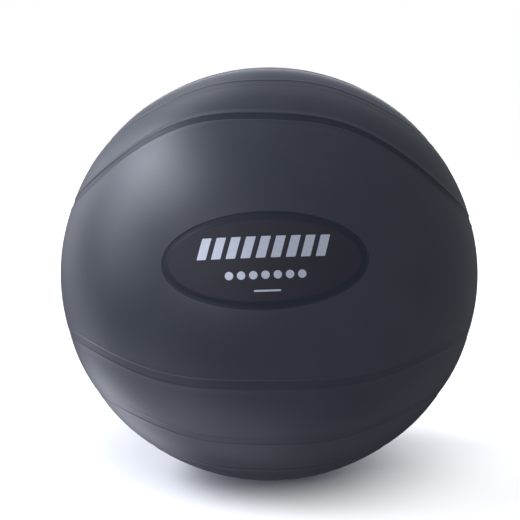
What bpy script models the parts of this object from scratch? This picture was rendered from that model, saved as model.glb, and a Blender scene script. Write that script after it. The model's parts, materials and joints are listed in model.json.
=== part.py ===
"""Exercise ball, 75 cm: one moulded PVC skin with air inside, and the push-in plug that keeps the air in.

Metres, +Z up.  The origin is the middle of the flat spot on which the ball rests.
The side with the oval panel faces -Y and the valve is opposite, towards +Y.
The ball lies as it was put down, so its mould axis, the line through both poles, leans back from upright.
"""
import math

import bmesh
import bpy
from mathutils import Matrix, Vector

# The ball: its size across the widest part, its wall, and how its own weight shapes it
WIDTH = 0.750
WALL = 0.0008
PILLOW = 0.0007
FOOT_RADIUS = 0.046
HEIGHT_SCALE = 0.994
WIDTH_SCALE = 1.002
BALL_RADIUS = WIDTH / 2 / WIDTH_SCALE - PILLOW

# How the ball lies: its mould axis leans back, and the ball is turned a little about that axis
AXIS_LEAN = math.radians(9.0)
AXIS_TURN = math.radians(-1.0)

# Moulded rings round the mould axis, from bottom to top, each given by its middle line in degrees:
# latitude at the front and back, latitude at the two sides, and how far it leans to one side.
# They stand far apart round the panel and close up at the sides.
RINGS = (
    (-64.0, -55.5, 0.0),
    (-48.5, -34.8, 0.0),
    (-30.0, -17.0, 0.0),
    (38.5, 16.0, -2.3),
    (55.0, 37.5, 0.0),
    (70.5, 58.0, 0.0),
)
SHOULDER = 0.24
RING_WIDTH = 0.0175
RING_SLOPE = 0.0016
RING_DEPTH = 0.0008
SEGMENTS = 44
ROW_STEP = 7.0

# Oval panel: size measured along the skin out to the far edge of the groove that frames it
PANEL_HALF_WIDTH = 0.161
PANEL_HALF_HEIGHT = 0.0745
PANEL_TILT = math.radians(2.0)
GROOVE_WIDTH = 0.0145
GROOVE_DEPTH = 0.0026
GROOVE_STATIONS = 52
GROOVE_SIDES = 20

# Valve: a thick round pad in the skin, with a sleeve inwards that grips the plug
PAD_RADIUS = 0.020
PAD_RISE = 0.0008
PAD_THICKNESS = 0.0050
SLEEVE_RADIUS = 0.0095
SLEEVE_TIP_RADIUS = 0.0082
SLEEVE_DEPTH = 0.0180
BORE_RADIUS = 0.0048
SEAT_RADIUS = 0.0120
VALVE_SEGMENTS = 28

# Plug: round head in the seat, ridged stem down the sleeve
FIT_GAP = 0.0003
HEAD_RADIUS = 0.0114
HEAD_THICKNESS = 0.0020
HEAD_ROUND = 0.0006
DISH_RADIUS = 0.0060
DISH_DEPTH = 0.0005
STEM_RADIUS = 0.0039
RIDGE_RADIUS = BORE_RADIUS - FIT_GAP
RIDGE_COUNT = 3
RIDGE_PITCH = 0.0055
RIDGE_START = 0.0045
STEM_LENGTH = 0.0240
STEM_TIP_RADIUS = 0.0026
STEM_TIP_LENGTH = 0.0030

MOULD_FRAME = Matrix.Rotation(-AXIS_LEAN, 3, "X") @ Matrix.Rotation(AXIS_TURN, 3, "Z")
CENTRE_HEIGHT = BALL_RADIUS * HEIGHT_SCALE * math.sqrt(1 - (FOOT_RADIUS / (BALL_RADIUS * WIDTH_SCALE)) ** 2)


def clear_scene():
    for old in list(bpy.data.objects):
        bpy.data.objects.remove(old, do_unlink=True)


def make_material(name, colour, roughness):
    material = bpy.data.materials.new(name)
    material.use_nodes = True
    shader = material.node_tree.nodes["Principled BSDF"]
    shader.inputs["Base Color"].default_value = (*colour, 1.0)
    shader.inputs["Roughness"].default_value = roughness
    shader.inputs["Metallic"].default_value = 0.0
    material.diffuse_color = (*colour, 1.0)
    return material


def make_object(name, bm, material=None, smooth_angle=30.0):
    bmesh.ops.recalc_face_normals(bm, faces=bm.faces)
    mesh = bpy.data.meshes.new(name)
    bm.to_mesh(mesh)
    bm.free()
    mesh.shade_smooth()
    mesh.set_sharp_from_angle(angle=math.radians(smooth_angle))
    if material:
        mesh.materials.append(material)
    obj = bpy.data.objects.new(name, mesh)
    bpy.context.collection.objects.link(obj)
    return obj


def make_cutter(obj):
    obj.hide_render = True
    obj.display_type = "WIRE"
    return obj


def add_boolean(target, operation, tool):
    modifier = target.modifiers.new(tool.name, "BOOLEAN")
    modifier.operation = operation
    modifier.solver = "EXACT"
    modifier.object = tool


def direction(latitude, longitude):
    """Unit vector in the mould's own frame; longitude 0 is the front, where the panel is."""
    return Vector((
        math.cos(latitude) * math.sin(longitude),
        -math.cos(latitude) * math.cos(longitude),
        math.sin(latitude),
    ))


def place(point):
    """From the mould's own frame, with its origin at the ball's centre, to the ball as it lies."""
    x, y, z = MOULD_FRAME @ point
    return Vector((x * WIDTH_SCALE, y * WIDTH_SCALE, z * HEIGHT_SCALE + CENTRE_HEIGHT))


def line_latitude(line, longitude):
    """A line swings between its front and its side latitude as cos squared, with fuller shoulders."""
    front, side, lean = line[:3]
    swing = math.cos(longitude) ** 2
    swing += SHOULDER * math.sin(2 * longitude) ** 2 * math.cos(2 * longitude)
    return math.radians(side + (front - side) * swing + lean * math.sin(longitude))


def shifted(ring, distance, rise):
    """A line beside a ring's middle line, at a distance along the skin, raised or sunk by rise."""
    angle = math.degrees(distance / BALL_RADIUS)
    return (ring[0] + angle, ring[1] + angle, ring[2], rise)


def lines_between(lower, upper, bulge):
    """Evenly spaced lines across the plain skin between two lines; it bulges a little in the middle."""
    count = round(max(upper[0] - lower[0], upper[1] - lower[1]) / ROW_STEP)
    lines = []
    for index in range(1, count):
        share = index / count
        mixed = [low + (high - low) * share for low, high in zip(lower[:3], upper[:3])]
        lines.append((*mixed, bulge * math.sin(math.pi * share)))
    return lines


def skin_lines():
    """Every line of the skin from pole to pole, as front, side, lean and rise above the plain ball."""
    lines = []
    below = (-90.0, -90.0, 0.0, 0.0)
    bulge = 0.0
    for ring in RINGS:
        edge = RING_WIDTH / 2
        floor = edge - RING_SLOPE
        channel = [
            shifted(ring, -edge, 0.0),
            shifted(ring, -floor, -RING_DEPTH),
            shifted(ring, floor, -RING_DEPTH),
            shifted(ring, edge, 0.0),
        ]
        lines += lines_between(below, channel[0], bulge)
        lines += channel
        below = channel[-1]
        bulge = PILLOW
    lines += lines_between(below, (90.0, 90.0, 0.0, 0.0), 0.0)
    return lines


def skin(name, inset, material=None):
    """A closed ball whose surface lies inset below the skin's outside, cut flat where it meets the floor."""
    bm = bmesh.new()
    rows = []
    for line in skin_lines():
        row = []
        for step in range(SEGMENTS):
            longitude = 2 * math.pi * step / SEGMENTS
            radius = BALL_RADIUS + line[3] - inset
            row.append(bm.verts.new(place(direction(line_latitude(line, longitude), longitude) * radius)))
        rows.append(row)
    for lower, upper in zip(rows, rows[1:]):
        for step in range(SEGMENTS):
            after = (step + 1) % SEGMENTS
            bm.faces.new((lower[step], lower[after], upper[after], upper[step]))
    for row, sign in ((rows[0], -1), (rows[-1], 1)):
        pole = bm.verts.new(place(Vector((0, 0, sign * (BALL_RADIUS - inset)))))
        for step in range(SEGMENTS):
            bm.faces.new((row[step], row[(step + 1) % SEGMENTS], pole))
    bmesh.ops.recalc_face_normals(bm, faces=bm.faces)
    cut = bmesh.ops.bisect_plane(
        bm, geom=bm.verts[:] + bm.edges[:] + bm.faces[:],
        plane_co=(0, 0, inset), plane_no=(0, 0, -1), clear_outer=True)
    rim = [item for item in cut["geom_cut"] if isinstance(item, bmesh.types.BMEdge)]
    bmesh.ops.holes_fill(bm, edges=rim, sides=0)
    return make_object(name, bm, material, smooth_angle=12.0)


def groove_tube(name, radius):
    """A closed tube that follows the oval round the panel and dips into the skin by the groove's depth."""
    groove_radius = (GROOVE_WIDTH ** 2 / 4 + GROOVE_DEPTH ** 2) / (2 * GROOVE_DEPTH)
    height = BALL_RADIUS + PILLOW + groove_radius - GROOVE_DEPTH
    half_width = (PANEL_HALF_WIDTH - GROOVE_WIDTH / 2) / BALL_RADIUS
    half_height = (PANEL_HALF_HEIGHT - GROOVE_WIDTH / 2) / BALL_RADIUS
    tilt = Matrix.Rotation(-PANEL_TILT, 3, "Y")
    path = []
    for step in range(GROOVE_STATIONS):
        angle = 2 * math.pi * step / GROOVE_STATIONS
        on_oval = direction(half_height * math.sin(angle), half_width * math.cos(angle))
        path.append(tilt @ on_oval * height)
    bm = bmesh.new()
    hoops = []
    for step, point in enumerate(path):
        along = (path[(step + 1) % len(path)] - path[step - 1]).normalized()
        outward = point.normalized()
        across = along.cross(outward).normalized()
        hoop = []
        for side in range(GROOVE_SIDES):
            angle = 2 * math.pi * side / GROOVE_SIDES
            offset = (outward * math.cos(angle) + across * math.sin(angle)) * (radius + groove_radius)
            hoop.append(bm.verts.new(place(point + offset)))
        hoops.append(hoop)
    for step, hoop in enumerate(hoops):
        after = hoops[(step + 1) % len(hoops)]
        for side in range(GROOVE_SIDES):
            beside = (side + 1) % GROOVE_SIDES
            bm.faces.new((hoop[side], hoop[beside], after[beside], after[side]))
    return make_cutter(make_object(name, bm))


def turned(name, profile, segments, material=None):
    """A solid turned about local Z from (radius, height) points that start and end on the axis."""
    bm = bmesh.new()
    corners = [bm.verts.new((radius, 0, height)) for radius, height in profile]
    edges = [bm.edges.new(pair) for pair in zip(corners, corners[1:])]
    bmesh.ops.spin(
        bm, geom=corners + edges, cent=(0, 0, 0), axis=(0, 0, 1),
        angle=2 * math.pi, steps=segments, use_merge=True)
    bmesh.ops.remove_doubles(bm, verts=bm.verts, dist=1e-6)
    return make_object(name, bm, material)


def rounded_corner(centre_radius, centre_height, size, start, end, steps):
    """Points of an arc about a corner's centre, with start and end in degrees."""
    points = []
    for step in range(steps + 1):
        angle = math.radians(start + (end - start) * step / steps)
        points.append((centre_radius + size * math.cos(angle), centre_height + size * math.sin(angle)))
    return points


def valve_profile():
    """Pad and sleeve in section; height 0 is the pad's outer face."""
    return [
        (0, 0),
        *rounded_corner(PAD_RADIUS - PAD_RISE, -PAD_RISE, PAD_RISE, 90, 0, 3),
        (PAD_RADIUS, -PAD_RISE - 2 * WALL),
        (PAD_RADIUS - PAD_THICKNESS / 2, -PAD_THICKNESS),
        (SLEEVE_RADIUS, -PAD_THICKNESS),
        (SLEEVE_TIP_RADIUS, -SLEEVE_DEPTH),
        (0, -SLEEVE_DEPTH),
    ]


def bore_profile():
    """The seat for the plug's head and the hole through the sleeve, cut from outside to inside."""
    seat_depth = HEAD_THICKNESS + FIT_GAP
    clearance = 0.004
    return [
        (0, clearance),
        (SEAT_RADIUS, clearance),
        (SEAT_RADIUS, -seat_depth),
        (BORE_RADIUS, -seat_depth),
        (BORE_RADIUS, -SLEEVE_DEPTH - clearance),
        (0, -SLEEVE_DEPTH - clearance),
    ]


def plug_profile():
    """Head with a shallow thumb dish, then a stem whose ridges point back up the sleeve."""
    points = [(0, -DISH_DEPTH), (DISH_RADIUS * 0.6, -DISH_DEPTH * 0.8), (DISH_RADIUS, 0)]
    points += rounded_corner(HEAD_RADIUS - HEAD_ROUND, -HEAD_ROUND, HEAD_ROUND, 90, 0, 3)
    points += [(HEAD_RADIUS, -HEAD_THICKNESS), (STEM_RADIUS, -HEAD_THICKNESS)]
    for ridge in range(RIDGE_COUNT):
        top = -RIDGE_START - RIDGE_PITCH * ridge
        points += [(STEM_RADIUS, top), (RIDGE_RADIUS, top - 0.0006), (RIDGE_RADIUS, top - 0.0012)]
        points += [(STEM_RADIUS, top - RIDGE_PITCH * 0.7)]
    points += [
        (STEM_RADIUS, -STEM_LENGTH + STEM_TIP_LENGTH),
        (STEM_TIP_RADIUS, -STEM_LENGTH),
        (0, -STEM_LENGTH),
    ]
    return points


def valve_frame():
    """Where the valve sits: its local Z points straight out of the ball, its origin is on the pad."""
    outward = (MOULD_FRAME @ Vector((0, 1, 0))).normalized()
    surface = place(Vector((0, BALL_RADIUS + PILLOW + PAD_RISE, 0)))
    return Matrix.Translation(surface) @ outward.to_track_quat("Z", "Y").to_matrix().to_4x4()


def build():
    clear_scene()
    pvc = make_material("slate_pvc", (0.030, 0.034, 0.043), 0.42)
    plug_plastic = make_material("plug_plastic", (0.72, 0.72, 0.69), 0.40)

    ball = skin("ball_shell", 0.0, pvc)
    add_boolean(ball, "DIFFERENCE", groove_tube("groove_outside", 0.0))
    cavity = make_cutter(skin("cavity", WALL))
    add_boolean(cavity, "DIFFERENCE", groove_tube("groove_inside", WALL))
    add_boolean(ball, "DIFFERENCE", cavity)

    frame = valve_frame()
    pad = make_cutter(turned("valve_pad", valve_profile(), VALVE_SEGMENTS))
    bore = make_cutter(turned("valve_bore", bore_profile(), VALVE_SEGMENTS))
    plug = turned("air_plug", plug_profile(), VALVE_SEGMENTS, plug_plastic)
    for obj in (pad, bore, plug):
        obj.matrix_world = frame
    add_boolean(ball, "UNION", pad)
    add_boolean(ball, "DIFFERENCE", bore)


build()
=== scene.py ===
"""The looks of the exercise ball: its moulded skin, the print on its panel, its air plug, and a plain studio."""
import json
import math

import bpy
import numpy as np
from mathutils import Matrix, Vector


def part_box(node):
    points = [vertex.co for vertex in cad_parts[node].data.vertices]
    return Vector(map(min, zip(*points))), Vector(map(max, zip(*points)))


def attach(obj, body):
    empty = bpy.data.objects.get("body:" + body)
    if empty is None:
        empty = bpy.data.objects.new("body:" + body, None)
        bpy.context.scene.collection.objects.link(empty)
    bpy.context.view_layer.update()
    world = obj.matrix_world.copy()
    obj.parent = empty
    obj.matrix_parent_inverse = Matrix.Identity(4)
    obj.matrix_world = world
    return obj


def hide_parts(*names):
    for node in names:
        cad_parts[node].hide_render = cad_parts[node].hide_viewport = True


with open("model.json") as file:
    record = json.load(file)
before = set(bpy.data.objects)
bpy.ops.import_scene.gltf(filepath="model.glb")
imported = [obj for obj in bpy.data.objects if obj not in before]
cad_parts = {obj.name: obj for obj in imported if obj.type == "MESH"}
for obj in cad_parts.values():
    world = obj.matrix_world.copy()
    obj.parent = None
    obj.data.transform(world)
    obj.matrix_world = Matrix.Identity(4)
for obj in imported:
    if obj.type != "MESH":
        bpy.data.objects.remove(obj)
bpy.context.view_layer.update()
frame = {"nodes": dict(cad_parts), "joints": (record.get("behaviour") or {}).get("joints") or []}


# ---------------------------------------------------------------------------------------------------------
# Ball skin: one hollow rotational moulding of soft PVC, blown up until it stands round.  Polished swept
# rings sink into the satin film, a rounded groove frames the oval panel, and a thick round pad at the back
# holds the plug.  The ball's weight presses a flat spot where it meets the floor.
# ---------------------------------------------------------------------------------------------------------

WALL = 0.0008
PILLOW = 0.0007
HEIGHT_SCALE = 0.994
WIDTH_SCALE = 1.002
FOOT_RADIUS = 0.046
FOOT_BLEND = 0.0008

skin_low, skin_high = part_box("ball_shell")
BALL_RADIUS = (skin_high[0] - skin_low[0]) / 2 / WIDTH_SCALE - PILLOW
CENTRE_HEIGHT = BALL_RADIUS * HEIGHT_SCALE * math.sqrt(1 - (FOOT_RADIUS / (BALL_RADIUS * WIDTH_SCALE)) ** 2)

# The plug's slide runs straight out of the back, so its axis says how the mould's frame lies.
plug_axis = Vector(frame["joints"][0]["axis"]).normalized()
AXIS_LEAN = math.asin(-plug_axis.z)
AXIS_TURN = -math.atan2(plug_axis.x, plug_axis.y / math.cos(AXIS_LEAN))
MOULD = np.array(Matrix.Rotation(-AXIS_LEAN, 3, "X") @ Matrix.Rotation(AXIS_TURN, 3, "Z"))

# Rings from bottom to top: latitude at front and back, latitude at the sides, lean to one side, in degrees,
# and how strongly each took the mould's polish, which also sets how much painted shade darkens its colour
RINGS = (
    (-64.0, -55.5, 0.0, 0.25),
    (-48.5, -34.8, 0.0, 0.25),
    (-30.0, -17.0, 0.0, 0.30),
    (38.5, 16.0, -2.3, 1.0),
    (55.0, 37.5, 0.0, 0.35),
    (70.5, 58.0, 0.0, 0.35),
)
SHOULDER = 0.24
RING_WIDTH = 0.0175
RING_SLOPE = 0.0016
RING_DEPTH = 0.0008
FAINT_SHARE = 0.4
POLISHED_WALL = 0.6
LIP_WIDTH = 0.0022
LIP_RISE = 0.00040

# Size of the grid: columns round the ball, rows over the belt, and rows at the poles and between the rings,
# each for the inside and for the outside
COLUMNS = 256
BELT_ROWS = 44
CAP_ROWS = (6, 14)
GAP_ROWS = (4, 9)

# Oval panel, measured along the skin out to the far edge of the groove that frames it.  GROOVE_RIM says how
# far past that edge two more ovals lie, and SLACK how close two distances are that count as equal.
PANEL_HALF_WIDTH = 0.161
PANEL_HALF_HEIGHT = 0.0745
PANEL_TILT = math.radians(2.0)
PANEL_BORDER = 0.0010
GROOVE_WIDTH = 0.0145
GROOVE_DEPTH = 0.0010
GROOVE_OUTER_SLOPE = 0.0028
GROOVE_INNER_SLOPE = 0.0100
GROOVE_RIM = (0.0008, 0.0030)
SLACK = 0.0001

# Valve: a round pad with a sleeve inwards, and a bore whose mouth widens to a seat for the plug's head.
# PAD_FILLET says where the pad runs out on the ball, as distances past its radius, and PAD_FILLET_SHAPE the
# heights there over the plain skin.
PAD_RADIUS = 0.020
PAD_RISE = 0.0008
PAD_THICKNESS = 0.0050
PAD_FILLET = (0.0002, 0.0016)
PAD_FILLET_SHAPE = (0.0004, 0.00018, 0.00004, 0)
PAD_FLAT_RADIUS = 0.0160
PAD_BACK_RADIUS = 0.0170
PAD_BACK_EDGE = 0.0010
SLEEVE_RADIUS = 0.0095
SLEEVE_FILLET = 0.0015
SLEEVE_TIP_RADIUS = 0.0082
SLEEVE_TIP_EDGE = 0.0008
SLEEVE_DEPTH = 0.0180
BORE_RADIUS = 0.0048
BORE_MIDDLE = 0.0100
BORE_EDGE = 0.0005
SEAT_RADIUS = 0.0120
SEAT_FLAT_RADIUS = 0.0080
SEAT_DEPTH = 0.0023
SMALL_EDGE = 0.0004
VALVE_REACH = 0.024

# Where the grid is left open for the panel and the valve: first and last row of the belt, and columns to
# each side of the middle
PANEL_HOLE = (8, 31, 22)
VALVE_HOLE = (12, 26, 7)


def swung(front, side, lean, longitude):
    """Latitude of a line: side plus (front - side) times cos squared of longitude, with fuller shoulders,
    plus lean times the sine of longitude.  Degrees in, radians out."""
    swing = np.cos(longitude) ** 2 + SHOULDER * np.sin(2 * longitude) ** 2 * np.cos(2 * longitude)
    return np.radians(side + (front - side) * swing + lean * np.sin(longitude))


def smooth_step(value):
    """3v^2 - 2v^3 of a value held between 0 and 1."""
    value = np.clip(value, 0, 1)
    return value * value * (3 - 2 * value)


def directions(latitude, longitude):
    """Unit vectors (cos lat sin lon, -cos lat cos lon, sin lat) in the mould's frame."""
    return np.stack([
        np.cos(latitude) * np.sin(longitude),
        -np.cos(latitude) * np.cos(longitude),
        np.sin(latitude) + 0 * longitude,
    ], axis=-1)


def placed(points, rest=0.0):
    """Mould frame to the ball as it lies: turn, sag, lift, then ease everything under the rest height up to
    it, which is the floor for the outside and a wall's thickness above it for the inside."""
    turned = points @ MOULD.T * (WIDTH_SCALE, WIDTH_SCALE, HEIGHT_SCALE)
    height = turned[..., 2] + CENTRE_HEIGHT - rest
    eased = np.where(height < -FOOT_BLEND, 0.0, (height + FOOT_BLEND) ** 2 / (4 * FOOT_BLEND))
    turned[..., 2] = rest + np.where(height < FOOT_BLEND, eased, height)
    return turned


def channel_rows(ring, detail):
    """Rows across one ring: distance from its middle line gives height, a flat floor, an S-shaped wall on
    each side and a low bell-shaped lip beside each wall.  Columns: front, side, lean, height, polish and painted
    shade."""
    edge = RING_WIDTH / 2
    outer = edge + LIP_WIDTH
    if detail:
        half = np.concatenate([
            np.linspace(0, edge - RING_SLOPE, 3)[:-1],
            np.linspace(edge - RING_SLOPE, edge, 6)[:-1],
            np.linspace(edge, outer, 5),
        ])
    else:
        half = np.array([edge - RING_SLOPE, edge, outer])
    across = np.concatenate([-half[::-1], half[1:] if detail else half])
    reach = np.abs(across)
    wall = smooth_step((reach - edge + RING_SLOPE) / RING_SLOPE)
    lip = np.clip((reach - edge) / LIP_WIDTH, 0, 1)
    depth = RING_DEPTH * (FAINT_SHARE + (1 - FAINT_SHARE) * ring[3])
    height = -depth * (1 - wall) + LIP_RISE * ring[3] * np.sin(np.pi * lip) ** 2
    shift = np.degrees(across / BALL_RADIUS)
    ones = np.ones_like(across)
    # This polish value also darkens the band's colour as painted shade.
    polish = ring[3] * (wall < POLISHED_WALL)
    return np.stack([ring[0] + shift, ring[1] + shift, ring[2] * ones, height, polish], axis=1)


def gap_rows(below, above, count, bulge):
    """Rows across plain skin, between two rows: all values run straight, plus a half sine wave of bulge."""
    share = np.arange(1, count)[:, None] / count
    rows = below + (above - below) * share
    rows[:, 3] += bulge * np.sin(np.pi * share[:, 0])
    rows[:, 4] = 0
    return rows


def skin_rows(detail):
    """All rows from pole to pole, and the index of the row under the belt that carries the panel."""
    rows = []
    below = np.array([-90.0, -90.0, 0, 0, 0])
    belt_start = 0
    for index, ring in enumerate(RINGS):
        channel = channel_rows(ring, detail)
        if index == 0:
            rows.append(gap_rows(below, channel[0], CAP_ROWS[detail], 0.0))
        elif index == len(RINGS) // 2:
            belt_start = sum(len(block) for block in rows) - 1
            rows.append(gap_rows(below, channel[0], BELT_ROWS, PILLOW))
        else:
            rows.append(gap_rows(below, channel[0], GAP_ROWS[detail], PILLOW))
        rows.append(channel)
        below = channel[-1]
    rows.append(gap_rows(below, np.array([90.0, 90.0, 0, 0, 0]), CAP_ROWS[detail], 0.0))
    return np.concatenate(rows), belt_start


belt_rows, belt_index = skin_rows(True)
BELT_LOW = belt_rows[belt_index]
BELT_HIGH = belt_rows[belt_index + BELT_ROWS]


def belt_height(unit):
    """Bulge of the plain belt at any direction: a half sine wave between its lower and its upper line."""
    latitude = np.arcsin(np.clip(unit[..., 2], -1, 1))
    longitude = np.arctan2(unit[..., 0], -unit[..., 1])
    low = swung(*BELT_LOW[:3], longitude)
    high = swung(*BELT_HIGH[:3], longitude)
    return PILLOW * np.sin(np.pi * np.clip((latitude - low) / (high - low), 0, 1))


def spread(start, end, shares, inset):
    """Rings of points that run from one ring of directions to another, laid on the belt."""
    mixed = start + (end - start) * shares[:, None, None]
    unit = mixed / np.linalg.norm(mixed, axis=-1, keepdims=True)
    return unit * (BALL_RADIUS - inset + belt_height(unit))[..., None]


def panel_rings(boundary, inset, detail):
    """From the panel's centre out: shrunken ovals, then the groove, a flat floor between a gentle inner and a
    steep outer S-shaped wall, then rings that ease from the oval to the boundary.  Returns points, panel
    values, and polish values that also give the groove its painted shade."""
    tilt = np.array(Matrix.Rotation(-PANEL_TILT, 3, "Y"))
    flat = boundary @ tilt
    angle = np.arctan2(
        np.arcsin(flat[:, 2]) / PANEL_HALF_HEIGHT,
        np.arctan2(flat[:, 0], -flat[:, 1]) / PANEL_HALF_WIDTH)
    groove_foot = GROOVE_WIDTH - GROOVE_INNER_SLOPE
    if detail:
        inward = np.concatenate([
            [GROOVE_WIDTH + PANEL_BORDER],
            np.linspace(GROOVE_WIDTH, groove_foot, 8),
            np.linspace(groove_foot, GROOVE_OUTER_SLOPE, 4)[1:-1],
            np.linspace(GROOVE_OUTER_SLOPE, 0, 6),
            [-GROOVE_RIM[0], -GROOVE_RIM[1]],
        ])
        scales = np.linspace(0, 1, 15)[1:-1]
        shares = np.linspace(0, 1, 13)[1:-1]
    else:
        inward = np.array([GROOVE_WIDTH, groove_foot, GROOVE_OUTER_SLOPE, 0, -GROOVE_RIM[1]])
        scales = np.linspace(0, 1, 7)[1:-1]
        shares = np.linspace(0, 1, 7)[1:-1]
    scale = np.concatenate([scales, np.ones(len(inward))])
    inward = np.concatenate([np.full(len(scales), inward[0]), inward])
    longitude = (scale * (PANEL_HALF_WIDTH - inward) / BALL_RADIUS)[:, None] * np.cos(angle)
    latitude = (scale * (PANEL_HALF_HEIGHT - inward) / BALL_RADIUS)[:, None] * np.sin(angle)
    unit = directions(latitude, longitude) @ tilt.T
    wall = np.minimum(inward / GROOVE_OUTER_SLOPE, (GROOVE_WIDTH - inward) / GROOVE_INNER_SLOPE)
    dip = np.where(scale < 1, 0, -GROOVE_DEPTH * smooth_step(wall))
    oval = unit * (BALL_RADIUS - inset + belt_height(unit) + dip[:, None])[..., None]
    outside = spread(unit[-1], boundary, shares, inset)
    in_groove = (scale == 1) & (inward < GROOVE_WIDTH - SLACK) & (inward > SLACK)
    panel = np.where((scale < 1) | (inward > GROOVE_WIDTH - SLACK), 1.0, 0.0)
    # In the groove this value also brings the darker band colour, a painted shade.
    polish = np.where(in_groove, 1.0, 0.0)
    rest = np.zeros(len(shares))
    return np.concatenate([oval, outside]), np.concatenate([panel, rest]), np.concatenate([polish, rest])


def valve_rings(boundary, inset, section):
    """A turned section about the valve's axis, given as (radius, height over the pad) from the bore outwards,
    then rings that ease from its edge to the boundary."""
    pad_top = BALL_RADIUS + PILLOW + PAD_RISE
    angle = np.arctan2(boundary[:, 2], boundary[:, 0])
    radius = section[:, 0][:, None]
    turned = np.stack([
        radius * np.cos(angle),
        pad_top + section[:, 1][:, None] + 0 * angle,
        radius * np.sin(angle),
    ], axis=-1)
    rim = directions(0 * angle, 0 * angle + math.pi) * math.sqrt(1 - (VALVE_REACH / BALL_RADIUS) ** 2)
    rim += np.stack([np.cos(angle), 0 * angle, np.sin(angle)], axis=-1) * VALVE_REACH / BALL_RADIUS
    return np.concatenate([turned, spread(rim, boundary, np.linspace(0, 1, 6)[:-1], inset)])


def arc(centre, size, start, end, count):
    """Points of a circle's arc, with start and end in degrees."""
    angle = np.radians(np.linspace(start, end, count))
    return np.stack([centre[0] + size * np.cos(angle), centre[1] + size * np.sin(angle)], axis=1)


def sphere_drop(radius):
    """Height of the plain skin at a radius from the valve's axis, below the pad's top."""
    reach = BALL_RADIUS + PILLOW
    return np.sqrt(reach ** 2 - radius ** 2) - reach - PAD_RISE


def outside_section():
    """Bore, chamfer, seat and pad, from the sleeve's inner end to the pad's rounded edge."""
    fillet = np.linspace(PAD_RADIUS + PAD_FILLET[0], PAD_RADIUS + PAD_FILLET[1], 4)
    return np.concatenate([
        [[BORE_RADIUS, -SLEEVE_DEPTH + SMALL_EDGE], [BORE_RADIUS, -BORE_MIDDLE]],
        arc((BORE_RADIUS + BORE_EDGE, -SEAT_DEPTH - BORE_EDGE), BORE_EDGE, 180, 90, 4),
        [[SEAT_FLAT_RADIUS, -SEAT_DEPTH]],
        arc((SEAT_RADIUS - SMALL_EDGE, -SEAT_DEPTH + SMALL_EDGE), SMALL_EDGE, -90, 0, 4),
        arc((SEAT_RADIUS + SMALL_EDGE, -SMALL_EDGE), SMALL_EDGE, 180, 90, 4),
        [[PAD_FLAT_RADIUS, 0]],
        arc((PAD_RADIUS - PAD_RISE, -PAD_RISE), PAD_RISE, 90, 0, 6),
        np.stack([fillet, sphere_drop(fillet) + PAD_FILLET_SHAPE], axis=1),
    ])


def inside_section():
    """Sleeve and pad seen from inside the ball, from the sleeve's tip outwards."""
    tip, back = -SLEEVE_DEPTH, -PAD_THICKNESS
    return np.concatenate([
        arc((BORE_RADIUS + SMALL_EDGE, tip + SMALL_EDGE), SMALL_EDGE, -170, -90, 3),
        arc((SLEEVE_TIP_RADIUS - SLEEVE_TIP_EDGE, tip + SLEEVE_TIP_EDGE), SLEEVE_TIP_EDGE, -90, 0, 4),
        arc((SLEEVE_RADIUS + SLEEVE_FILLET, back - SLEEVE_FILLET), SLEEVE_FILLET, 180, 90, 4),
        arc((PAD_BACK_RADIUS, back + PAD_BACK_EDGE), PAD_BACK_EDGE, -90, -30, 3),
        [[PAD_RADIUS, sphere_drop(PAD_RADIUS) - WALL - SMALL_EDGE]],
    ])


def between(loop, after):
    """Four-cornered faces between two closed loops of vertex numbers."""
    return np.stack([loop, np.roll(loop, -1), np.roll(after, -1), after], axis=1)


def hole_loop(index, low_row, high_row, low_column, high_column):
    """Vertex numbers round a rectangle of the grid, anticlockwise seen from outside."""
    columns = np.arange(low_column, high_column + 1) % COLUMNS
    rows = np.arange(low_row, high_row + 1)
    return np.concatenate([
        index[low_row, columns[:-1]],
        index[rows[:-1], columns[-1]],
        index[high_row, columns[:0:-1]],
        index[rows[:0:-1], columns[0]],
    ])


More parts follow.
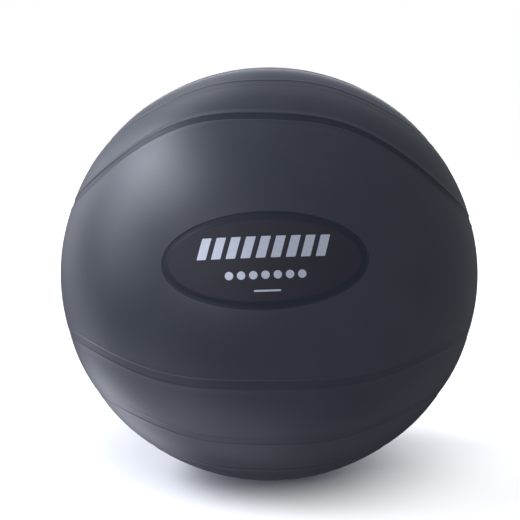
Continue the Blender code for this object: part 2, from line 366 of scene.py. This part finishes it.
def skin_layer(inset, detail, section):
    """One side of the skin, with panel and valve: points, faces, panel and polish-and-shade values, bore's loop.
    """
    rows, belt = skin_rows(detail)
    longitude = 2 * math.pi * np.arange(COLUMNS) / COLUMNS
    latitude = np.stack([swung(*row[:3], longitude) for row in rows])
    grid = directions(latitude, longitude) * (BALL_RADIUS - inset + rows[:, 3])[:, None, None]
    poles = np.array([[0, 0, inset - BALL_RADIUS], [0, 0, BALL_RADIUS - inset]])
    points = [grid.reshape(-1, 3), poles]
    index = np.arange(len(rows) * COLUMNS).reshape(len(rows), COLUMNS)
    south = index.size
    keep = np.ones((len(rows) - 1, COLUMNS), bool)
    holes = [
        (belt + first, belt + last, middle - side, middle + side)
        for (first, last, side), middle in ((PANEL_HOLE, 0), (VALVE_HOLE, COLUMNS // 2))
    ]
    for low_row, high_row, low_column, high_column in holes:
        keep[low_row:high_row, np.arange(low_column, high_column) % COLUMNS] = False
    after = np.roll(index, -1, axis=1)
    cells = np.stack([index[:-1], after[:-1], after[1:], index[1:]], axis=-1)[keep]
    faces = [cells]
    fans = [
        np.stack([after[0], index[0], np.full(COLUMNS, south)], axis=1),
        np.stack([index[-1], after[-1], np.full(COLUMNS, south + 1)], axis=1),
    ]
    panel = [np.zeros(index.size + 2)]
    polish = [np.repeat(rows[:, 4], COLUMNS), [0, 0]]
    count = index.size + 2

    panel_edge = hole_loop(index, *holes[0])
    unit = points[0][panel_edge] / np.linalg.norm(points[0][panel_edge], axis=1, keepdims=True)
    rings, ring_panel, ring_polish = panel_rings(unit, inset, detail)
    centre = directions(np.zeros(1), np.zeros(1))
    centre *= BALL_RADIUS - inset + belt_height(centre)
    loops = count + 1 + np.arange(rings.shape[0] * len(unit)).reshape(rings.shape[0], len(unit))
    points += [centre, rings.reshape(-1, 3)]
    fans.append(np.stack([loops[0], np.roll(loops[0], -1), np.full(len(unit), count)], axis=1))
    chain = [*loops, panel_edge]
    faces += [between(outer, inner) for inner, outer in zip(chain, chain[1:])]
    panel += [[1], np.repeat(ring_panel, len(unit))]
    polish += [[0], np.repeat(ring_polish, len(unit))]
    count += 1 + loops.size

    valve_edge = hole_loop(index, *holes[1])
    unit = points[0][valve_edge] / np.linalg.norm(points[0][valve_edge], axis=1, keepdims=True)
    rings = valve_rings(unit, inset, section)
    loops = count + np.arange(rings.shape[0] * len(unit)).reshape(rings.shape[0], len(unit))
    points.append(rings.reshape(-1, 3))
    chain = [*loops, valve_edge]
    faces += [between(outer, inner) for inner, outer in zip(chain, chain[1:])]
    panel.append(np.zeros(loops.size))
    polish.append(np.zeros(loops.size))
    return np.concatenate(points), faces, fans, np.concatenate(panel), np.concatenate(polish), loops[0]


def make_mesh(name, points, quads, triangles=(), **values):
    """A smooth-shaded object from arrays of points and of four- and three-cornered faces, without the points
    that no face uses, and with each named value stored at its points."""
    used = np.unique(np.concatenate([block.ravel() for block in (*quads, *triangles)]))
    number = np.zeros(len(points), int)
    number[used] = np.arange(len(used))
    mesh = bpy.data.meshes.new(name)
    faces = [face for block in (*quads, *triangles) for face in number[block].tolist()]
    mesh.from_pydata(points[used].tolist(), [], faces)
    mesh.shade_smooth()
    for label, value in values.items():
        layer = mesh.attributes.new(label, "FLOAT", "POINT")
        layer.data.foreach_set("value", value[used].astype(np.float32))
    piece = bpy.data.objects.new(name, mesh)
    bpy.context.collection.objects.link(piece)
    return piece


outer = skin_layer(0.0, True, outside_section())
inner = skin_layer(WALL, False, inside_section())
start = len(outer[0])
inner_quads = [block[:, ::-1] + start for block in inner[1]]
inner_fans = [block[:, ::-1] + start for block in inner[2]]
bore_join = between(outer[5], inner[5] + start)
ball_skin = make_mesh(
    "ball_skin",
    np.concatenate([placed(outer[0]), placed(inner[0], WALL)]),
    outer[1] + inner_quads + [bore_join],
    outer[2] + inner_fans,
    panel=np.concatenate([outer[3], inner[3] * 0]),
    polish=np.concatenate([outer[4], inner[4] * 0]))
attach(ball_skin, "ball")
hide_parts("ball_shell")


class Value:
    """One socket of a node tree.  Arithmetic on it adds Math nodes, and node() adds any other node."""

    def __init__(self, tree, socket=None):
        self.tree = tree
        self.socket = socket

    def node(self, kind, settings=None, inputs=None, output=0):
        """Adds a node, sets its settings, then the values or links of its sockets, and returns one output."""
        node = self.tree.nodes.new("ShaderNode" + kind)
        for name, value in (settings or {}).items():
            setattr(node, name, value)
        for name, value in (inputs or {}).items():
            if isinstance(value, Value):
                self.tree.links.new(value.socket, node.inputs[name])
            else:
                node.inputs[name].default_value = value
        return Value(self.tree, node.outputs[output])

    def math(self, operation, *values):
        return self.node("Math", {"operation": operation}, dict(enumerate(values)))

    def __add__(self, other):
        return self.math("ADD", self, other)

    __radd__ = __add__

    def __sub__(self, other):
        return self.math("SUBTRACT", self, other)

    def __rsub__(self, other):
        return self.math("SUBTRACT", other, self)

    def __mul__(self, other):
        return self.math("MULTIPLY", self, other)

    __rmul__ = __mul__

    def ramp(self, low, high):
        """0 below low, 1 above high, and a smooth S between them."""
        settings = {"interpolation_type": "SMOOTHSTEP"}
        return self.node("MapRange", settings, {"Value": self, "From Min": low, "From Max": high})

    def blend(self, first, second):
        """The first shader where this value is 0, the second where it is 1."""
        return self.node("MixShader", None, {0: self, 1: first, 2: second})

    def mix(self, first, second):
        """The first colour where this value is 0, the second where it is 1."""
        return self.node("Mix", {"data_type": "RGBA"}, {0: self, 6: first, 7: second}, 2)


def new_finish(name, **constants):
    """A material with a Principled shader whose named sockets hold constants.  Returns material, shader and
    a Value for adding nodes."""
    material = bpy.data.materials.new(name)
    material.use_nodes = True
    shader = material.node_tree.nodes["Principled BSDF"]
    for socket, value in constants.items():
        shader.inputs[socket.replace("_", " ")].default_value = value
    return material, shader, Value(material.node_tree)


def feed(shader, **links):
    """Links values to a shader's sockets."""
    for socket, value in links.items():
        value.tree.links.new(value.socket, shader.inputs[socket.replace("_", " ")])


def noise(nodes, place, scale, detail=2.0, rough=0.5):
    """Soft random value between 0 and 1, with patches one over scale metres wide."""
    inputs = {"Vector": place, "Scale": scale, "Detail": detail, "Roughness": rough}
    return nodes.node("TexNoise", None, inputs)


SLATE = (0.0275, 0.0320, 0.0425, 1)
SLATE_PALE = (0.0340, 0.0385, 0.0500, 1)
# Painted shade: the bands and the groove take this colour, darker than the film, for their dimmer reflection.
BAND_PAINTED_SHADE = (0.0175, 0.0205, 0.0270, 1)
PANEL = (0.0315, 0.0290, 0.0390, 1)
DUST = (0.110, 0.110, 0.112, 1)
SATIN_ROUGH = 0.38
PANEL_ROUGH = 0.52
BAND_ROUGH = 0.36
BAND_SHINE = 0.20
PANEL_DULLING = 0.9
DUST_HEIGHT = 0.05
PVC_IOR = 1.5

satin, shader, nodes = new_finish("satin_slate_pvc", IOR=PVC_IOR)
place = nodes.node("TexCoord", output="Object")
height = nodes.node("SeparateXYZ", None, {0: place}, "Z")
panel = nodes.node("Attribute", {"attribute_name": "panel"}, output="Fac").ramp(0.3, 0.7)
polish = nodes.node("Attribute", {"attribute_name": "polish"}, output="Fac")
clouds = noise(nodes, place, 7.0, 3.0)
cells = noise(nodes, place, 420.0, 2.0)
grain = noise(nodes, place, 1600.0, 1.0)
film = clouds.ramp(0.3, 0.7).mix(SLATE, SLATE_PALE)
dust = (1 - height.ramp(0.0, DUST_HEIGHT)) * noise(nodes, place, 60.0, 4.0).ramp(0.45, 0.8) * 0.25
feed(shader, Base_Color=dust.mix(panel.mix(film, PANEL), DUST))
rough = SATIN_ROUGH + clouds * 0.07 + cells * 0.02
feed(shader, Roughness=rough * (1 - panel) + panel * (PANEL_ROUGH + 0.06 * clouds) + dust * 0.3)
bumps = cells * (1 - panel) * 0.5 + grain * (panel * 0.9 + 0.10)
relief = nodes.node("Bump", None, {"Strength": 0.35, "Distance": 0.00035, "Height": bumps})
feed(shader, Normal=relief)

# The polished bands and the groove are smooth and shine less, and the matt panel is as dull: neither has the
# film's bloom.  The bands and the groove are also painted a darker colour than the film, as painted shade for
# their dimmer reflection.
smooth_and_shaded = nodes.node("BsdfPrincipled", None, {"IOR": PVC_IOR, "Specular IOR Level": BAND_SHINE})
band_shader = smooth_and_shaded.socket.node
# Painted shade: the darker band colour goes on the bands and the groove.
feed(band_shader, Base_Color=panel.mix(clouds.mix(BAND_PAINTED_SHADE, SLATE), PANEL))
feed(band_shader, Roughness=BAND_ROUGH + clouds * 0.06 + panel * 0.14)
ripple = nodes.node("Bump", None, {"Strength": 0.15, "Distance": 0.0002, "Height": cells})
feed(band_shader, Normal=ripple)
surface = (polish + panel * PANEL_DULLING).blend(Value(satin.node_tree, shader.outputs["BSDF"]), smooth_and_shaded)
satin.node_tree.links.new(surface.socket, satin.node_tree.nodes["Material Output"].inputs["Surface"])
ball_skin.data.materials.append(satin)


# ---------------------------------------------------------------------------------------------------------
# Print: silver ink laid on the matt panel by pad printing, a film thinner than a hair.  Plain slanted bars
# stand over a row of round dots and a short thin line.  They carry no name and no letters.
# ---------------------------------------------------------------------------------------------------------

# Places are the marks' middles, as metres right and up from the panel's centre.  Each HALF is half a width
# and half a height.
INK_LIFT = 0.00006
INK_SINK = 0.00020
INK_STEP = 0.004
SHARP_EDGE = math.radians(40)
SLANT = 0.30
BARS = 9
BAR_PITCH = 0.0222
BAR_PLACE = (-0.0010, 0.0200)
BAR_HALF = (0.0071, 0.0160)
BAR_CORNER = 0.0010
DOTS = 7
DOT_PITCH = 0.0180
DOT_PLACE = (0.0010, -0.0215)
DOT_RADIUS = 0.0062
LINE_PLACE = (0.0030, -0.0450)
LINE_HALF = (0.0200, 0.0014)
LINE_CORNER = 0.0012


def rounded_box(centre, half, corner, points=10):
    """Outline of a rounded box, sheared to one side by the slant, anticlockwise from its right side."""
    angle = np.linspace(0, math.pi / 2, points)
    straight_across, straight_up = half[0] - corner, half[1] - corner
    across = np.concatenate([
        straight_across + corner * np.cos(angle),
        -straight_across - corner * np.sin(angle),
        -straight_across - corner * np.cos(angle),
        straight_across + corner * np.sin(angle),
    ])
    up = np.concatenate([
        straight_up + corner * np.sin(angle),
        straight_up + corner * np.cos(angle),
        -straight_up - corner * np.sin(angle),
        -straight_up - corner * np.cos(angle),
    ])
    return np.stack([centre[0] + across + SLANT * up, centre[1] + up], axis=1)


def disc(centre, radius, points=36):
    """Outline of a round dot, anticlockwise from its right side."""
    angle = 2 * math.pi * np.arange(points) / points
    return np.stack([centre[0] + radius * np.cos(angle), centre[1] + radius * np.sin(angle)], axis=1)


def on_panel(flat, lift):
    """Points given as metres right and up from the panel's centre, laid on the panel's bulge."""
    tilt = np.array(Matrix.Rotation(-PANEL_TILT, 3, "Y"))
    unit = directions(flat[..., 1] / BALL_RADIUS, flat[..., 0] / BALL_RADIUS) @ tilt.T
    return unit * (BALL_RADIUS + belt_height(unit) + lift)[..., None]


def refine(outline, step):
    """The outline with points added, so that none of its sides is longer than step."""
    following = np.roll(outline, -1, axis=0)
    count = np.ceil(np.linalg.norm(following - outline, axis=1) / step).astype(int).clip(1)
    begin = np.repeat(np.cumsum(count) - count, count)
    share = ((np.arange(count.sum()) - begin) / np.repeat(count, count))[:, None]
    return np.repeat(outline, count, axis=0) * (1 - share) + np.repeat(following, count, axis=0) * share


def ink_film(outline):
    """A closed thin film: rings from the middle to the outline on top, and the same rings back below.
    Returns points, four-cornered faces and three-cornered faces."""
    middle = outline.mean(axis=0)
    rings = max(2, math.ceil(np.linalg.norm(outline - middle, axis=1).max() / INK_STEP) + 1)
    layers = middle + (outline - middle) * np.linspace(0, 1, rings)[1:, None, None]
    top = on_panel(layers, INK_LIFT)
    below = on_panel(layers[::-1], -INK_SINK)
    count = len(outline)
    loops = np.arange((len(top) + len(below)) * count).reshape(-1, count)
    quads = [between(outer, inner) for inner, outer in zip(loops, loops[1:])]
    poles = on_panel(np.stack([middle, middle]), np.array([INK_LIFT, -INK_SINK]))
    fans = [
        np.stack([loops[0], np.roll(loops[0], -1), np.full(count, loops.size)], axis=1),
        np.stack([np.roll(loops[-1], -1), loops[-1], np.full(count, loops.size + 1)], axis=1),
    ]
    return np.concatenate([top.reshape(-1, 3), below.reshape(-1, 3), poles]), quads, fans


def make_print(name, films):
    """One object from several ink films."""
    points, quads, fans, start = [], [], [], 0
    for film_points, film_quads, film_fans in films:
        points.append(film_points)
        quads += [block + start for block in film_quads]
        fans += [block + start for block in film_fans]
        start += len(film_points)
    piece = make_mesh(name, placed(np.concatenate(points)), quads, fans)
    piece.data.set_sharp_from_angle(angle=SHARP_EDGE)
    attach(piece, "ball")
    return piece


def row_places(count, pitch, place):
    """Middles of a level row of equal marks."""
    return [(place[0] + pitch * (step - (count - 1) / 2), place[1]) for step in range(count)]


bar_places = row_places(BARS, BAR_PITCH, BAR_PLACE)
bars = [ink_film(refine(rounded_box(place, BAR_HALF, BAR_CORNER), INK_STEP)) for place in bar_places]
dots = [ink_film(disc(place, DOT_RADIUS)) for place in row_places(DOTS, DOT_PITCH, DOT_PLACE)]
line = [ink_film(refine(rounded_box(LINE_PLACE, LINE_HALF, LINE_CORNER), INK_STEP))]
print_bars = make_print("print_bars", bars)
print_dots = make_print("print_dots", dots)
print_line = make_print("print_line", line)

SILVER_DARK = (0.48, 0.50, 0.56, 1)
SILVER_LIGHT = (0.62, 0.65, 0.71, 1)

silver, shader, nodes = new_finish("silver_ink", Metallic=0.35)
place = nodes.node("TexCoord", output="Object")
flakes = noise(nodes, place, 1400.0, 2.0)
patches = noise(nodes, place, 35.0, 3.0)
feed(shader, Base_Color=flakes.ramp(0.3, 0.7).mix(SILVER_DARK, SILVER_LIGHT))
feed(shader, Roughness=0.42 + 0.12 * patches)
feed(shader, Normal=nodes.node("Bump", None, {"Strength": 0.3, "Distance": 0.00008, "Height": flakes}))
for piece in (print_bars, print_dots, print_line):
    piece.data.materials.append(silver)


# ---------------------------------------------------------------------------------------------------------
# Air plug: a hard white stopper, injection moulded, pushed by hand into the sleeve until its head sits in
# the pad's seat.  Three low ridges on its stem grip the bore.
# ---------------------------------------------------------------------------------------------------------

PLUG_WHITE = (0.74, 0.74, 0.71, 1)
PLUG_AGED = (0.66, 0.66, 0.62, 1)

plug_plastic, shader, nodes = new_finish("plug_plastic", IOR=1.49)
place = nodes.node("TexCoord", output="Object")
cloud = noise(nodes, place, 240.0, 3.0)
pits = noise(nodes, place, 2600.0, 2.0)
feed(shader, Base_Color=cloud.ramp(0.3, 0.8).mix(PLUG_WHITE, PLUG_AGED))
feed(shader, Roughness=0.34 + 0.12 * cloud)
feed(shader, Normal=nodes.node("Bump", None, {"Strength": 0.25, "Distance": 0.0001, "Height": pits}))
plug_mesh = frame["nodes"]["air_plug"].data
plug_mesh.materials.clear()
plug_mesh.materials.append(plug_plastic)


# ---------------------------------------------------------------------------------------------------------
# Studio: a white paper floor with a lamp of its own, soft boxes to the left and behind, and the camera.
# ---------------------------------------------------------------------------------------------------------

FLOOR_HALF = 300.0
FLOOR_DROP = 0.0002
corners = np.array([[-1, -1, 0], [1, -1, 0], [1, 1, 0], [-1, 1, 0]]) * FLOOR_HALF - (0, 0, FLOOR_DROP)
floor = make_mesh("floor", corners, [np.array([[0, 1, 2, 3]])])
paper, shader, nodes = new_finish(
    "floor_paper", Base_Color=(0.9, 0.9, 0.9, 1), Roughness=0.9, Specular_IOR_Level=0.0)
floor.data.materials.append(paper)
floor.visible_glossy = False
floor.visible_diffuse = False
floor.visible_shadow = False

scene = bpy.context.scene
scene.view_settings.view_transform = "Standard"
world = bpy.data.worlds.new("studio")
scene.world = world
world.use_nodes = True
nodes = Value(world.node_tree)
way = nodes.node("TexCoord", output="Generated")
background = world.node_tree.nodes["Background"]


# Softboxes and cards: bearing to the left from straight behind the camera, height above the horizon, the
# angles at which the light is full and at which it has faded out, in degrees, and its strength
SOFTBOXES = (
    (110, 42, 4, 15, 8.66),
    (70, 42, 4, 15, 5.82),
    (30, 8, 5, 18, 4.60),
    (90, 42, 4, 15, 5.34),
    (95, 24, 4, 15, 4.68),
    (180, 8, 5, 18, 4.14),
    (140, -35, 5, 18, 2.53),
    (85, 8, 5, 18, 1.78),
    (135, 24, 4, 15, 1.38),
    (155, 42, 4, 15, 1.36),
    (135, 8, 5, 18, 1.14),
    (90, -50, 8, 26, 0.88),
    (90, -75, 8, 30, 0.70),
    (120, -18, 8, 24, 0.67),
    (180, 35, 8, 35, 0.30),
    (-30, 20, 25, 80, 0.12),
    (180, -30, 10, 45, -0.23),
)
ROOM_GLOW = 0.25
COOL_TINT = (0.95, 0.99, 1.12)


def bearing(turn, height):
    """Unit vector at an angle to the left of the camera's back and an angle above the horizon."""
    turn, height = math.radians(turn), math.radians(height)
    return Vector((-math.sin(turn) * math.cos(height), -math.cos(turn) * math.cos(height), math.sin(height)))


glow = ROOM_GLOW
for turn, height, full, faded, strength in SOFTBOXES:
    settings = {"operation": "DOT_PRODUCT"}
    along = nodes.node("VectorMath", settings, {0: way, 1: bearing(turn, height)}, "Value")
    glow = glow + strength * along.ramp(math.cos(math.radians(faded)), math.cos(math.radians(full)))
tinted = nodes.node("CombineColor", None, {step: glow * share for step, share in enumerate(COOL_TINT)})
colour = nodes.node("LightPath", output="Is Camera Ray").mix(tinted, (1, 1, 1, 1))
world.node_tree.links.new(colour.socket, background.inputs["Color"])

FLOOR_LAMP = bearing(-18, 50)
FLOOR_LAMP_POWER = 3.1
FLOOR_LAMP_SPREAD = math.radians(65)

lit_floor = bpy.data.collections.new("lit_floor")
lit_floor.objects.link(floor)
floor_light_data = bpy.data.lights.new("floor_light", "SUN")
floor_light_data.energy = FLOOR_LAMP_POWER
floor_light_data.angle = FLOOR_LAMP_SPREAD
floor_light = bpy.data.objects.new("floor_light", floor_light_data)
scene.collection.objects.link(floor_light)
floor_light.rotation_euler = FLOOR_LAMP.to_track_quat("Z", "Y").to_euler()
floor_light.light_linking.receiver_collection = lit_floor

ELEVATION = math.radians(6.0)
DISTANCE = 5 * (skin_high[0] - skin_low[0]) / 2
FOCAL = 70.75
SENSOR = 36
AIM_LEFT = DISTANCE * 0.00861
AIM_UP = DISTANCE * 0.01292
centre = Vector((0, 0, CENTRE_HEIGHT))
away = Vector((0, -math.cos(ELEVATION), math.sin(ELEVATION)))
camera_data = bpy.data.cameras.new("camera")
camera_data.lens = FOCAL
camera_data.sensor_width = SENSOR
camera = bpy.data.objects.new("camera", camera_data)
scene.collection.objects.link(camera)
camera.location = centre + away * DISTANCE
up = Vector((0, math.sin(ELEVATION), math.cos(ELEVATION)))
aim = centre - Vector((1, 0, 0)) * AIM_LEFT + up * AIM_UP
camera.rotation_euler = (aim - camera.location).to_track_quat("-Z", "Y").to_euler()
scene.camera = camera
